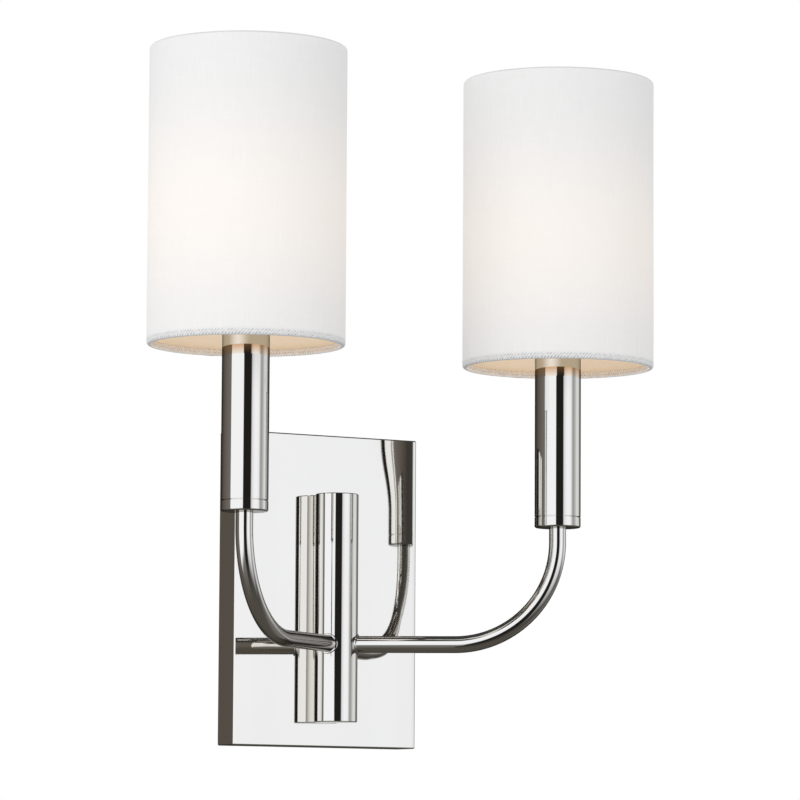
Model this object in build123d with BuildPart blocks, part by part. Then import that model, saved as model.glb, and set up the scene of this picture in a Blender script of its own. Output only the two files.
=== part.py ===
from build123d import *

import os
from math import cos, radians, sin

# A two-light wall lamp in polished metal. A pan-shaped backplate carries a short column, two bent arms
# leave the column in a V, and each arm holds a cup, a tall sleeve and a drum shade of linen over a bulb.
# Millimetres. The origin is the centre of the backplate's open back, on the wall. +X is right, +Y goes
# into the wall and +Z is up, so the lamp stands out towards -Y.

# Fits, as gaps on the radius or between faces
thread_gap = 0.05  # screwed or pressed together
slip_gap = 0.2  # slides on by hand
turning_gap = 0.3  # between pieces that turn on each other

# Backplate
plate_width = 136.0
plate_height = 203.0
plate_depth = 21.0
plate_wall = 1.2
plate_edge_chamfer = 0.8
plate_corner_radius = 1.0

# Strap that is fastened to the outlet box, and its screws
strap_width = 30.0
strap_thickness = 1.6
strap_bend_radius = 1.5
ear_depth = 15.0
box_screw_near = 69.85  # the two usual spacings of outlet-box screws
box_screw_far = 88.9
box_screw_hole = 4.6
strap_wire_hole = 24.0
set_screw_diameter = 4.0
set_screw_recess = 0.2
set_screw_socket = 2.0
set_screw_socket_depth = 1.8
set_nut_width = 7.0
set_nut_height = 3.0
set_nut_to_ear = 0.5
ground_screw_diameter = 4.0
ground_screw_rise = 32.8  # above the strap's lower end
ground_flange_diameter = 9.0
ground_flange_height = 0.9
ground_head_width = 6.0
ground_head_height = 2.4

# Column
column_diameter = 28.0
column_wall = 2.5
column_height = 148.0
column_foot = 15.6  # from the plate's lower edge up to the column
column_flat = 1.0  # depth of the flat that seats on the plate
column_chamfer = 0.5
end_cap_thickness = 3.0
end_cap_chamfer = 0.4
nipple_diameter = 10.0
nipple_bore = 7.2
nipple_height = 106.0  # above the column's lower end
nipple_inside = 2.5  # how far it stands into the column
stud_diameter = 5.0
stud_height = 21.0  # above the column's lower end
stud_inside = 1.0
thread_past_nut = 1.5
nipple_washer_diameter = 20.0
nipple_washer_height = 1.2
nipple_nut_width = 14.0
nipple_nut_height = 3.5
stud_washer_diameter = 12.0
stud_washer_height = 1.0
stud_nut_width = 8.0
stud_nut_height = 4.0

# Arms
arm_diameter = 11.0
arm_wall = 1.3
arm_reach = 143.5  # column's axis to sleeve's axis
arm_angle = 36.3  # forward of the wall, seen from above
arm_height = 50.3  # above the column's lower end
arm_rise = 75.5  # arm's axis to the cup's underside
arm_bend_radius = 66.0
arm_inside = 1.5  # how far the arm stands into the column's bore
arm_thread_diameter = 10.0
collar_wall = 1.0
collar_stand = 0.8
collar_round = 0.4

# Cup and sleeve
sleeve_diameter = 29.8
sleeve_wall = 1.2
sleeve_length = 129.3
cup_height = 6.8
cup_floor = 3.0
cup_edge_radius = 1.2
spigot_height = 6.0
spigot_wall = 1.0
seam_chamfer = 0.45
cup_nut_width = 14.0
cup_nut_height = 3.0

# Lampholder and the bracket that stands it in the sleeve
holder_gap = 0.5  # to the sleeve's bore
holder_height = 29.0
holder_above_sleeve = 11.0
holder_floor = 6.0
holder_contact_room = 4.5
contact_room_diameter = 11.0
holder_wire_hole = 4.0
holder_wire_depth = 3.5
bracket_thickness = 1.2
bracket_width = 8.0
bracket_inset = 0.8  # riser's corners to the spigot's bore
bracket_foot_diameter = 18.0
bracket_head_past = 6.0
rivet_diameter = 3.0
rivet_head_diameter = 5.6
rivet_head_height = 0.9
contact_thickness = 0.4
contact_width = 4.0
contact_length = 8.0
contact_height = 2.0
shell_wall = 0.4
shell_inset = 1.0

# Bulb
bulb_cap_diameter = 11.9
bulb_cap_length = 18.0
bulb_cap_wall = 0.4
bulb_insulator_height = 2.2
bulb_tip_diameter = 4.4
bulb_tip_height = 1.2
bulb_diameter = 35.0
bulb_length = 78.0  # glass above the cap
bulb_belly = 33.0  # widest place, above the cap
bulb_tip_round = 4.0
bulb_wall = 0.9
bulb_neck_depth = 8.0
filament_spread = 8.0
filament_diameter = 1.4
filament_start = 14.0
filament_length = 36.0
filament_plate = 0.8
filament_stem_diameter = 2.4

# Shade
shade_diameter = 124.0
shade_height = 188.0
shade_drop = 32.6  # how far the shade reaches below the sleeve's top
fabric_thickness = 0.6
liner_thickness = 0.4
hoop_wire = 1.9
hem_gap = 0.35  # round the hoop inside its hem
hem_turn = 4.0  # height of cloth turned in
fitter_diameter = 46.0
fitter_thickness = 1.6
spider_wire = 1.6
spider_arms = 3
spider_knee = 34.0  # below the upper hoop
spider_bend_radius = 16.0
ring_height = 6.0
ring_wall = 4.4
ring_notches = 12
ring_notch_radius = 1.6
ring_chamfer = 0.6

# Heights and places worked out from the sizes above
column_bottom = column_foot - plate_height / 2
column_y = -(plate_depth + column_diameter / 2 - column_flat)
nipple_z = column_bottom + nipple_height
stud_z = column_bottom + stud_height
arm_z = column_bottom + arm_height
cup_bottom = arm_z + arm_rise
seam_z = cup_bottom + cup_height
sleeve_top = seam_z + sleeve_length
holder_top = sleeve_top + holder_above_sleeve
holder_bottom = holder_top - holder_height
contact_z = holder_bottom + holder_floor
shell_bottom = contact_z + holder_contact_room
bulb_tip_z = contact_z + contact_height
bulb_insulator_z = bulb_tip_z + bulb_tip_height
bulb_cap_z = bulb_insulator_z + bulb_insulator_height
glass_z = bulb_cap_z + bulb_cap_length
shade_bottom = sleeve_top - shade_drop
shade_top = shade_bottom + shade_height

sleeve_bore = sleeve_diameter - 2 * sleeve_wall
spigot_diameter = sleeve_bore - 2 * slip_gap
spigot_bore = spigot_diameter - 2 * spigot_wall
holder_diameter = sleeve_bore - 2 * holder_gap
shell_bore = bulb_cap_diameter + 2 * turning_gap
shell_diameter = shell_bore + 2 * shell_wall
arm_bore = arm_diameter - 2 * arm_wall
collar_bore = arm_diameter + 2 * thread_gap
collar_diameter = collar_bore + 2 * collar_wall
column_bore = column_diameter - 2 * column_wall
hem_radius = hoop_wire / 2 + hem_gap + fabric_thickness
hoop_radius = shade_diameter / 2 - hem_radius
upper_hoop_z = shade_top - hem_radius
lower_hoop_z = shade_bottom + hem_radius
ear_face = plate_height / 2 - plate_wall - set_nut_height - set_nut_to_ear
ear_y = -plate_depth / 2
ground_screw_z = ground_screw_rise - ear_face
sides = {"left": -1, "right": 1}


def arm_way(side):
    """The level direction in which one arm leaves the column."""
    return Vector(side * cos(radians(arm_angle)), -sin(radians(arm_angle)), 0)


def lamp_plane(side, height):
    """The level plane at a height on one sleeve's axis."""
    centre = Vector(0, column_y, height) + arm_way(side) * arm_reach
    return Plane(origin=centre)


def column_plane(height):
    """The level plane at a height on the column's axis."""
    return Plane(origin=(0, column_y, height))


def arm_section_plane(side):
    """The plane across one arm, through the column's axis."""
    return Plane(origin=(0, column_y, arm_z), x_dir=(0, 0, 1), z_dir=arm_way(side))


def keep(piece, name):
    """Labels one finished piece and writes it."""
    piece.label = name
    export_step(piece, f"parts/{name}.step")


def tube(plane, outer, bore, length):
    """A plain tube, or a rod where the bore is 0, standing on a plane."""
    with BuildPart() as straight_tube:
        with BuildSketch(plane):
            Circle(outer / 2)
            if bore:
                Circle(bore / 2, mode=Mode.SUBTRACT)
        extrude(amount=length)
    return straight_tube.part


def hex_nut(plane, width, bore, height):
    """A hexagon nut that stands on a plane."""
    with BuildPart() as nut:
        with BuildSketch(plane):
            RegularPolygon(width / 2, 6, major_radius=False)
            Circle(bore / 2 + thread_gap, mode=Mode.SUBTRACT)
        extrude(amount=height)
    return nut.part


def make_backplate():
    """The pan: a front with four short sides, open at the wall."""
    with BuildPart() as backplate:
        with BuildSketch(Plane.XZ):
            RectangleRounded(plate_width, plate_height, plate_corner_radius)
        extrude(amount=plate_depth)
        front = backplate.faces().sort_by(Axis.Y)[0]
        chamfer(front.edges(), plate_edge_chamfer)
        with BuildSketch(Plane.XZ):
            Rectangle(plate_width - 2 * plate_wall, plate_height - 2 * plate_wall)
        extrude(amount=plate_depth - plate_wall, mode=Mode.SUBTRACT)
        with BuildSketch(Plane.XZ):
            with Locations((0, nipple_z)):
                Circle(nipple_diameter / 2 + slip_gap)
            with Locations((0, stud_z)):
                Circle(stud_diameter / 2 + slip_gap)
        extrude(amount=plate_depth, mode=Mode.SUBTRACT)
        with BuildSketch(Plane.XY):
            with Locations((0, ear_y)):
                Circle(set_screw_diameter / 2 + slip_gap)
        extrude(amount=plate_height / 2, both=True, mode=Mode.SUBTRACT)
    return backplate.part


def make_mounting_bracket():
    """The strap behind the plate, with an ear bent forward at each end and two slots for box screws."""
    slot_length = (box_screw_far - box_screw_near) / 2 + box_screw_hole
    slot_middle = (box_screw_far + box_screw_near) / 4
    with BuildPart() as bracket:
        with BuildSketch(Plane.YZ) as side_view:
            with Locations((-ear_depth / 2, 0)):
                Rectangle(ear_depth, 2 * ear_face)
            with Locations((-ear_depth / 2 - strap_thickness, 0)):
                Rectangle(ear_depth, 2 * (ear_face - strap_thickness), mode=Mode.SUBTRACT)
            fillet(side_view.vertices().group_by(Axis.X)[-2], strap_bend_radius)
            fillet(side_view.vertices().group_by(Axis.X)[-1], strap_bend_radius + strap_thickness)
        extrude(amount=strap_width / 2, both=True)
        with BuildSketch(Plane.XZ):
            Circle(strap_wire_hole / 2)
            with Locations((0, slot_middle), (0, -slot_middle)):
                SlotOverall(slot_length, box_screw_hole, rotation=90)
            with Locations((0, ground_screw_z)):
                Circle(ground_screw_diameter / 2 + thread_gap)
        extrude(amount=strap_thickness, mode=Mode.SUBTRACT)
    return bracket.part


def make_plate_screws():
    """Two headless screws, flush in the plate's upper and lower sides, that press on the strap's ears."""
    outer_end = plate_height / 2 - set_screw_recess
    with BuildPart() as screws:
        with BuildSketch(Plane.XY.offset(ear_face)):
            with Locations((0, ear_y)):
                Circle(set_screw_diameter / 2)
        extrude(amount=outer_end - ear_face)
        with BuildSketch(Plane.XY.offset(outer_end)):
            with Locations((0, ear_y)):
                RegularPolygon(set_screw_socket / 2, 6, major_radius=False)
        extrude(amount=-set_screw_socket_depth, mode=Mode.SUBTRACT)
        mirror(about=Plane.XY)
    return screws.part


def make_plate_screw_nuts():
    """The two nuts fixed inside the plate's upper and lower sides."""
    with BuildPart() as nuts:
        with BuildSketch(Plane.XY.offset(plate_height / 2 - plate_wall)):
            with Locations((0, ear_y)):
                RegularPolygon(set_nut_width / 2, 6, major_radius=False)
                Circle(set_screw_diameter / 2 + thread_gap, mode=Mode.SUBTRACT)
        extrude(amount=-set_nut_height)
        mirror(about=Plane.XY)
    return nuts.part


def make_ground_screw():
    """The earth screw in the strap, with its flange and hexagon head."""
    place = Plane(origin=(0, 0, ground_screw_z), x_dir=(1, 0, 0), z_dir=(0, -1, 0))
    with BuildPart() as screw:
        with BuildSketch(place):
            Circle(ground_screw_diameter / 2)
        extrude(amount=strap_thickness)
        with BuildSketch(place.offset(strap_thickness)):
            Circle(ground_flange_diameter / 2)
        extrude(amount=ground_flange_height)
        with BuildSketch(place.offset(strap_thickness + ground_flange_height)):
            RegularPolygon(ground_head_width / 2, 6, major_radius=False)
        extrude(amount=ground_head_height)
    return screw.part


def make_column():
    """The upright tube: a flat at its back, two tapped holes there and one hole for each arm."""
    with BuildPart() as column:
        with BuildSketch(column_plane(column_bottom)):
            Circle(column_diameter / 2)
            with Locations((0, column_diameter / 2)):
                Rectangle(column_diameter, 2 * column_flat, mode=Mode.SUBTRACT)
            Circle(column_bore / 2, mode=Mode.SUBTRACT)
        extrude(amount=column_height)
        outer_rims = column.edges().filter_by(GeomType.CIRCLE).group_by(SortBy.RADIUS)[-1]
        chamfer(outer_rims, column_chamfer)
        for side in sides.values():
            with BuildSketch(arm_section_plane(side)):
                Circle(collar_diameter / 2 + thread_gap)
            extrude(amount=column_diameter, mode=Mode.SUBTRACT)
        with BuildSketch(Plane(origin=(0, column_y, 0), x_dir=(1, 0, 0), z_dir=(0, -1, 0))):
            with Locations((0, nipple_z)):
                Circle(nipple_diameter / 2 + thread_gap)
            with Locations((0, stud_z)):
                Circle(stud_diameter / 2 + thread_gap)
        extrude(amount=-column_diameter, mode=Mode.SUBTRACT)
    return column.part


def make_end_cap(end, outwards):
    """A plug pressed flush into one end of the column."""
    with BuildPart() as cap:
        with BuildSketch(column_plane(end)):
            Circle(column_bore / 2 - thread_gap)
        extrude(amount=-outwards * end_cap_thickness)
        inner_edge = cap.edges().filter_by(GeomType.CIRCLE).sort_by(Axis.Z)[0 if outwards > 0 else -1]
        chamfer(inner_edge, end_cap_chamfer)
    return cap.part


def wall_fixing(height, diameter, bore, inside, washer_height, nut_height):
    """A threaded rod that is screwed into the column's flat and passes through the plate."""
    back = -plate_depth + plate_wall + washer_height + nut_height + thread_past_nut
    inner_wall = column_y + column_bore / 2
    place = Plane(origin=(0, back, height), x_dir=(1, 0, 0), z_dir=(0, -1, 0))
    return tube(place, diameter, bore, back - inner_wall + inside)


def behind_plate(height, behind):
    """A plane parallel to the wall, facing it, at a distance behind the plate's front wall."""
    return Plane(origin=(0, -plate_depth + plate_wall + behind, height), x_dir=(1, 0, 0), z_dir=(0, 1, 0))


def make_arm(side):
    """One arm: a bent tube whose upper end is turned down to a thread for the cup."""
    start = column_bore / 2 - arm_inside
    sideways = arm_way(side).cross(Vector(0, 0, 1))
    upright = Plane(origin=(0, column_y, arm_z), x_dir=arm_way(side), z_dir=sideways)
    thread_length = cup_floor + bracket_thickness + cup_nut_height + thread_past_nut
    with BuildPart() as arm:
        with BuildLine(upright):
            level = Line((start, 0), (arm_reach - arm_bend_radius, 0))
            bend = JernArc(level @ 1, level % 1, arm_bend_radius, 90)
            Line(bend @ 1, (arm_reach, arm_rise))
        with BuildSketch(arm_section_plane(side).offset(start)):
            Circle(arm_diameter / 2)
            Circle(arm_bore / 2, mode=Mode.SUBTRACT)
        sweep()
        with BuildSketch(lamp_plane(side, cup_bottom)):
            Circle(arm_thread_diameter / 2)
            Circle(arm_bore / 2, mode=Mode.SUBTRACT)
        extrude(amount=thread_length)
    return arm.part


def make_arm_collar(side):
    """The small ring round the arm's root, saddled on the column."""
    with BuildPart() as collar:
        with BuildSketch(arm_section_plane(side)):
            Circle(collar_diameter / 2)
            Circle(collar_bore / 2, mode=Mode.SUBTRACT)
        extrude(amount=column_diameter)
        with BuildSketch(column_plane(arm_z)):
            Circle(column_diameter / 2 + collar_stand)
        extrude(amount=column_diameter, both=True, mode=Mode.INTERSECT)
        outer_edge = collar.edges().sort_by(lambda edge: edge.length)[-2:]
        fillet(outer_edge.sort_by_distance((0, column_y, arm_z))[-1], collar_round)
        with BuildSketch(column_plane(arm_z)):
            Circle(column_bore / 2)
        extrude(amount=column_diameter, both=True, mode=Mode.SUBTRACT)
    return collar.part


def make_cup(side):
    """The cup that closes the sleeve's foot, with a spigot that centres the sleeve."""
    with BuildPart() as cup:
        with BuildSketch(lamp_plane(side, cup_bottom)):
            Circle(sleeve_diameter / 2)
        extrude(amount=cup_height)
        rims = cup.edges().filter_by(GeomType.CIRCLE).sort_by(Axis.Z)
        fillet(rims[0], cup_edge_radius)
        chamfer(rims[-1], seam_chamfer)
        with BuildSketch(lamp_plane(side, seam_z)):
            Circle(spigot_diameter / 2)
        extrude(amount=spigot_height)
        with BuildSketch(lamp_plane(side, cup_bottom + cup_floor)):
            Circle(spigot_bore / 2)
        extrude(amount=cup_height + spigot_height, mode=Mode.SUBTRACT)
        with BuildSketch(lamp_plane(side, cup_bottom)):
            Circle(arm_thread_diameter / 2 + slip_gap)
        extrude(amount=cup_floor, mode=Mode.SUBTRACT)
    return cup.part


def make_sleeve(side):
    """The tall sleeve, a tube with a fine chamfer at each end."""
    with BuildPart() as sleeve:
        with BuildSketch(lamp_plane(side, seam_z)):
            Circle(sleeve_diameter / 2)
            Circle(sleeve_bore / 2, mode=Mode.SUBTRACT)
        extrude(amount=sleeve_length)
        chamfer(sleeve.edges().filter_by(GeomType.CIRCLE).group_by(SortBy.RADIUS)[-1], seam_chamfer)
    return sleeve.part


def make_lampholder_bracket(side):
    """A C-shaped strip: its foot is clamped in the cup and its head carries the lampholder."""
    foot_z = cup_bottom + cup_floor
    reach = spigot_bore / 2 - bracket_inset
    middle = (foot_z + holder_bottom) / 2
    with BuildPart() as bracket:
        with BuildSketch(lamp_plane(side, foot_z)):
            Circle(bracket_foot_diameter / 2)
            with Locations((reach / 2, 0)):
                Rectangle(reach, bracket_width)
            Circle(arm_thread_diameter / 2 + slip_gap, mode=Mode.SUBTRACT)
        extrude(amount=bracket_thickness)
        with Locations(lamp_plane(side, middle).location * Pos(reach - bracket_thickness / 2, 0, 0)):
            Box(bracket_thickness, bracket_width, holder_bottom - foot_z)
        with BuildSketch(lamp_plane(side, holder_bottom - bracket_thickness)):
            with Locations(((reach - bracket_head_past) / 2, 0)):
                Rectangle(reach + bracket_head_past, bracket_width)
            Circle(rivet_diameter / 2 + slip_gap, mode=Mode.SUBTRACT)
        extrude(amount=bracket_thickness)
    return bracket.part


def make_lampholder_rivet(side):
    """The rivet that holds the lampholder and its contact to the bracket."""
    head_z = holder_bottom - bracket_thickness
    shank = bracket_thickness + holder_floor + contact_thickness
    with BuildPart() as rivet:
        with BuildSketch(lamp_plane(side, head_z)):
            Circle(rivet_diameter / 2)
        extrude(amount=shank)
        with BuildSketch(lamp_plane(side, head_z), lamp_plane(side, head_z + shank + rivet_head_height)):
            Circle(rivet_head_diameter / 2)
        extrude(amount=-rivet_head_height)
    return rivet.part


def make_lampholder_body(side):
    """The moulded lampholder: a bore for the screw shell, a room for the contact and two lead holes."""
    lead_spread = (holder_diameter + contact_room_diameter) / 4
    with BuildPart() as holder:
        with BuildSketch(lamp_plane(side, holder_bottom)):
            Circle(holder_diameter / 2)
            Circle(rivet_diameter / 2 + slip_gap, mode=Mode.SUBTRACT)
        extrude(amount=holder_height)
        with BuildSketch(lamp_plane(side, contact_z)):
            Circle(contact_room_diameter / 2)
        extrude(amount=holder_contact_room, mode=Mode.SUBTRACT)
        with BuildSketch(lamp_plane(side, shell_bottom)):
            Circle(shell_diameter / 2 + thread_gap)
        extrude(amount=holder_height, mode=Mode.SUBTRACT)
        with BuildSketch(lamp_plane(side, holder_bottom)):
            with Locations((0, lead_spread), (0, -lead_spread)):
                Circle(holder_wire_hole / 2)
        extrude(amount=holder_wire_depth, mode=Mode.SUBTRACT)
    return holder.part


def make_centre_contact(side):
    """The springy strip, folded back over itself, that the bulb's tip presses on."""
    upright = Plane(origin=lamp_plane(side, contact_z).origin, x_dir=(1, 0, 0), z_dir=(0, -1, 0))
    with BuildPart() as contact:
        with BuildSketch(upright):
            with Locations((0, contact_height / 2)):
                Rectangle(contact_length, contact_height)
            with Locations((-contact_thickness, contact_height / 2)):
                Rectangle(contact_length, contact_height - 2 * contact_thickness, mode=Mode.SUBTRACT)
        extrude(amount=contact_width / 2, both=True)
        with BuildSketch(lamp_plane(side, contact_z)):
            Circle(rivet_diameter / 2 + slip_gap)
        extrude(amount=contact_thickness, mode=Mode.SUBTRACT)
        fillet(contact.edges().filter_by(Axis.Y).group_by(Axis.X)[-1], contact_thickness)
    return contact.part


def make_bulb_glass(side):
    """The hollow candle-shaped glass: a neck inside the cap, a belly and a small round tip."""
    upright = Plane(origin=lamp_plane(side, glass_z).origin, x_dir=(1, 0, 0), z_dir=(0, -1, 0))
    half_width = bulb_diameter / 2
    tip_centre = Vector(0, bulb_length - bulb_tip_round)
    tip_rise = tip_centre.Y - bulb_belly
    crown_radius = (half_width**2 + tip_rise**2 - bulb_tip_round**2) / (2 * (half_width - bulb_tip_round))
    tip_way = Vector(crown_radius - half_width, tip_rise).normalized()
    with BuildPart() as glass:
        for inset, mode in ((0, Mode.ADD), (bulb_wall, Mode.SUBTRACT)):
            neck = bulb_cap_diameter / 2 - bulb_cap_wall - slip_gap - inset
            neck_end = inset - bulb_neck_depth
            with BuildSketch(upright):
                with BuildLine():
                    foot = Line((0, neck_end), (neck, neck_end))
                    collar = Line(foot @ 1, (neck, 0))
                    belly = (half_width - inset, bulb_belly)
                    halfway = ((neck + belly[0]) / 2, bulb_belly / 2)
                    flare = TangentArc(collar @ 1, halfway, tangent=(0, 1))
                    swell = TangentArc(flare @ 1, belly, tangent=flare % 1)
                    shoulder = tip_centre + tip_way * (bulb_tip_round - inset)
                    crown = TangentArc(swell @ 1, shoulder, tangent=(0, 1))
                    point = TangentArc(crown @ 1, (0, bulb_length - inset), tangent=crown % 1)
                    Line(point @ 1, foot @ 0)
                make_face()
            revolve(axis=Axis(upright.origin, (0, 0, 1)), mode=mode)
    return glass.part


def make_bulb_filament(side):
    """The light source: a stem from the neck and four lit sticks between two small plates."""
    foot = glass_z - bulb_neck_depth + bulb_wall
    lower = glass_z + filament_start
    stem_length = lower - foot
    with BuildPart() as filament:
        with BuildSketch(lamp_plane(side, foot)):
            Circle(filament_stem_diameter / 2)
        extrude(amount=stem_length + filament_length)
        with BuildSketch(lamp_plane(side, lower), lamp_plane(side, lower + filament_length)):
            Circle(filament_spread / 2 + filament_diameter)
        extrude(amount=filament_plate)
        with BuildSketch(lamp_plane(side, lower)):
            with PolarLocations(filament_spread / 2, 4):
                Circle(filament_diameter / 2)
        extrude(amount=filament_length)
    return filament.part


def make_bulb_insulator(side):
    """The glass insulator between the cap and the tip."""
    with BuildPart() as insulator:
        with BuildSketch(lamp_plane(side, bulb_insulator_z)):
            Circle(bulb_tip_diameter / 2)
        with BuildSketch(lamp_plane(side, bulb_cap_z)):
            Circle(bulb_cap_diameter / 2)
        loft()
    return insulator.part


def make_shade_fabric(side):
    """The linen drum, turned in round a hoop at each end to make a rolled hem."""
    upright = Plane(origin=lamp_plane(side, 0).origin, x_dir=(1, 0, 0), z_dir=(0, -1, 0))
    outer = shade_diameter / 2
    turned = hoop_radius - hem_radius
    middle = (shade_bottom + shade_top) / 2
    high = upper_hoop_z
    with BuildPart() as fabric:
        with BuildSketch(upright):
            with BuildLine():
                wall = Line((outer, middle), (outer, high))
                over = ThreePointArc(wall @ 1, (hoop_radius, shade_top), (turned, high))
                flap = Line(over @ 1, (turned, shade_top - hem_turn))
                edge = Line(flap @ 1, (turned + fabric_thickness, shade_top - hem_turn))
                back = Line(edge @ 1, (turned + fabric_thickness, high))
                crest = (hoop_radius, shade_top - fabric_thickness)
                under = ThreePointArc(back @ 1, crest, (outer - fabric_thickness, high))
                inside = Line(under @ 1, (outer - fabric_thickness, middle))
                Line(inside @ 1, wall @ 0)
            make_face()
        revolve(axis=Axis(upright.origin, (0, 0, 1)))
        mirror(about=Plane.XY.offset(middle))
    return fabric.part


def make_shade_liner(side):
    """The stiff sheet that the linen is bonded to, between the hoops."""
    foot = lower_hoop_z + hoop_wire / 2 + slip_gap
    length = shade_top + shade_bottom - 2 * foot
    outer = shade_diameter - 2 * fabric_thickness
    return tube(lamp_plane(side, foot), outer, outer - 2 * liner_thickness, length)


def make_shade_hoop(side, height):
    """A wire hoop inside one of the shade's hems."""
    upright = Plane(origin=lamp_plane(side, height).origin, x_dir=(1, 0, 0), z_dir=(0, -1, 0))
    with BuildPart() as hoop:
        with BuildSketch(upright):
            with Locations((hoop_radius, 0)):
                Circle(hoop_wire / 2)
        revolve(axis=Axis(upright.origin, (0, 0, 1)))
    return hoop.part


def make_shade_spider(side):
    """The flat fitter ring that sits on the sleeve, with its wires rising to the upper hoop."""
    upright = Plane(origin=lamp_plane(side, 0).origin, x_dir=(1, 0, 0), z_dir=(0, -1, 0))
    axis = Axis(upright.origin, (0, 0, 1))
    start = (fitter_diameter / 2 - spider_wire, sleeve_top - fitter_thickness)
    knee = (hoop_radius, upper_hoop_z - spider_knee)
    with BuildPart() as spider:
        with BuildLine(upright) as wire_line:
            FilletPolyline(start, knee, (hoop_radius, upper_hoop_z), radius=spider_bend_radius)
        with BuildSketch(Plane(origin=wire_line.line @ 0, z_dir=wire_line.line % 0)):
            Circle(spider_wire / 2)
        wire = sweep()
        for turn in range(1, spider_arms):
            add(wire.rotate(axis, turn * 360 / spider_arms))
        split(bisect_by=Plane.XY.offset(sleeve_top), keep=Keep.TOP)
        with BuildSketch(upright):
            with Locations((hoop_radius, upper_hoop_z)):
                Circle(hoop_wire / 2 + thread_gap)
        revolve(axis=axis, mode=Mode.SUBTRACT)
        with BuildSketch(lamp_plane(side, sleeve_top)):
            Circle(fitter_diameter / 2)
        extrude(amount=fitter_thickness)
        with BuildSketch(lamp_plane(side, sleeve_top)):
            Circle(holder_diameter / 2 + turning_gap)
        extrude(amount=fitter_thickness, mode=Mode.SUBTRACT)
    return spider.part


def make_shade_ring(side):
    """The notched ring that is screwed down on the shade's fitter."""
    foot = sleeve_top + fitter_thickness + slip_gap
    outer = holder_diameter / 2 + thread_gap + ring_wall
    with BuildPart() as ring:
        with BuildSketch(lamp_plane(side, foot)):
            Circle(outer)
        extrude(amount=ring_height)
        chamfer(ring.edges().filter_by(GeomType.CIRCLE), ring_chamfer)
        with BuildSketch(lamp_plane(side, foot)):
            Circle(holder_diameter / 2 + thread_gap)
            with PolarLocations(outer, ring_notches):
                Circle(ring_notch_radius)
        extrude(amount=ring_height, mode=Mode.SUBTRACT)
    return ring.part


os.makedirs("parts", exist_ok=True)

keep(make_backplate(), "backplate")
keep(make_mounting_bracket(), "mounting_bracket")
keep(make_plate_screws(), "plate_screws")
keep(make_plate_screw_nuts(), "plate_screw_nuts")
keep(make_ground_screw(), "ground_screw")
keep(make_column(), "column")
keep(make_end_cap(column_bottom + column_height, 1), "column_top_cap")
keep(make_end_cap(column_bottom, -1), "column_bottom_cap")

nipple_fit = (nipple_inside, nipple_washer_height, nipple_nut_height)
keep(wall_fixing(nipple_z, nipple_diameter, nipple_bore, *nipple_fit), "column_nipple")
nipple_washer_bore = nipple_diameter + 2 * slip_gap
nipple_washer = tube(
    behind_plate(nipple_z, 0), nipple_washer_diameter, nipple_washer_bore, nipple_washer_height
)
keep(nipple_washer, "nipple_washer")
nipple_nut_place = behind_plate(nipple_z, nipple_washer_height)
keep(hex_nut(nipple_nut_place, nipple_nut_width, nipple_diameter, nipple_nut_height), "nipple_nut")

stud_fit = (stud_inside, stud_washer_height, stud_nut_height)
keep(wall_fixing(stud_z, stud_diameter, 0, *stud_fit), "column_stud")
stud_washer_bore = stud_diameter + 2 * slip_gap
stud_washer = tube(behind_plate(stud_z, 0), stud_washer_diameter, stud_washer_bore, stud_washer_height)
keep(stud_washer, "stud_washer")
stud_nut_place = behind_plate(stud_z, stud_washer_height)
keep(hex_nut(stud_nut_place, stud_nut_width, stud_diameter, stud_nut_height), "stud_nut")

cup_nut_z = cup_bottom + cup_floor + bracket_thickness
shell_length = holder_top - shell_inset - shell_bottom
bulb_cap_bore = bulb_cap_diameter - 2 * bulb_cap_wall
for name, side in sides.items():
    cup_nut_place = lamp_plane(side, cup_nut_z)
    shell_place = lamp_plane(side, shell_bottom)
    cap_place = lamp_plane(side, bulb_cap_z)
    tip_place = lamp_plane(side, bulb_tip_z)
    keep(make_arm(side), f"{name}_arm")
    keep(make_arm_collar(side), f"{name}_arm_collar")
    keep(make_cup(side), f"{name}_cup")
    keep(hex_nut(cup_nut_place, cup_nut_width, arm_thread_diameter, cup_nut_height), f"{name}_cup_nut")
    keep(make_sleeve(side), f"{name}_sleeve")
    keep(make_lampholder_bracket(side), f"{name}_lampholder_bracket")
    keep(make_lampholder_rivet(side), f"{name}_lampholder_rivet")
    keep(make_lampholder_body(side), f"{name}_lampholder_body")
    keep(make_centre_contact(side), f"{name}_centre_contact")
    keep(tube(shell_place, shell_diameter, shell_bore, shell_length), f"{name}_screw_shell")
    keep(tube(tip_place, bulb_tip_diameter, 0, bulb_tip_height), f"{name}_bulb_tip")
    keep(make_bulb_insulator(side), f"{name}_bulb_insulator")
    keep(tube(cap_place, bulb_cap_diameter, bulb_cap_bore, bulb_cap_length), f"{name}_bulb_cap")
    keep(make_bulb_glass(side), f"{name}_bulb_glass")
    keep(make_bulb_filament(side), f"{name}_bulb_filament")
    keep(make_shade_ring(side), f"{name}_shade_ring")
    keep(make_shade_spider(side), f"{name}_shade_spider")
    keep(make_shade_hoop(side, upper_hoop_z), f"{name}_shade_top_hoop")
    keep(make_shade_hoop(side, lower_hoop_z), f"{name}_shade_bottom_hoop")
    keep(make_shade_liner(side), f"{name}_shade_liner")
    keep(make_shade_fabric(side), f"{name}_shade_fabric")
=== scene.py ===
"""Dresses the two-light wall lamp: mirror nickel, linen shades, lit bulbs, screw threads and a studio."""

import functools
import logging
import math
from dataclasses import dataclass
from enum import Enum
from typing import Sequence

import bpy
from mathutils import Matrix, Vector


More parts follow.
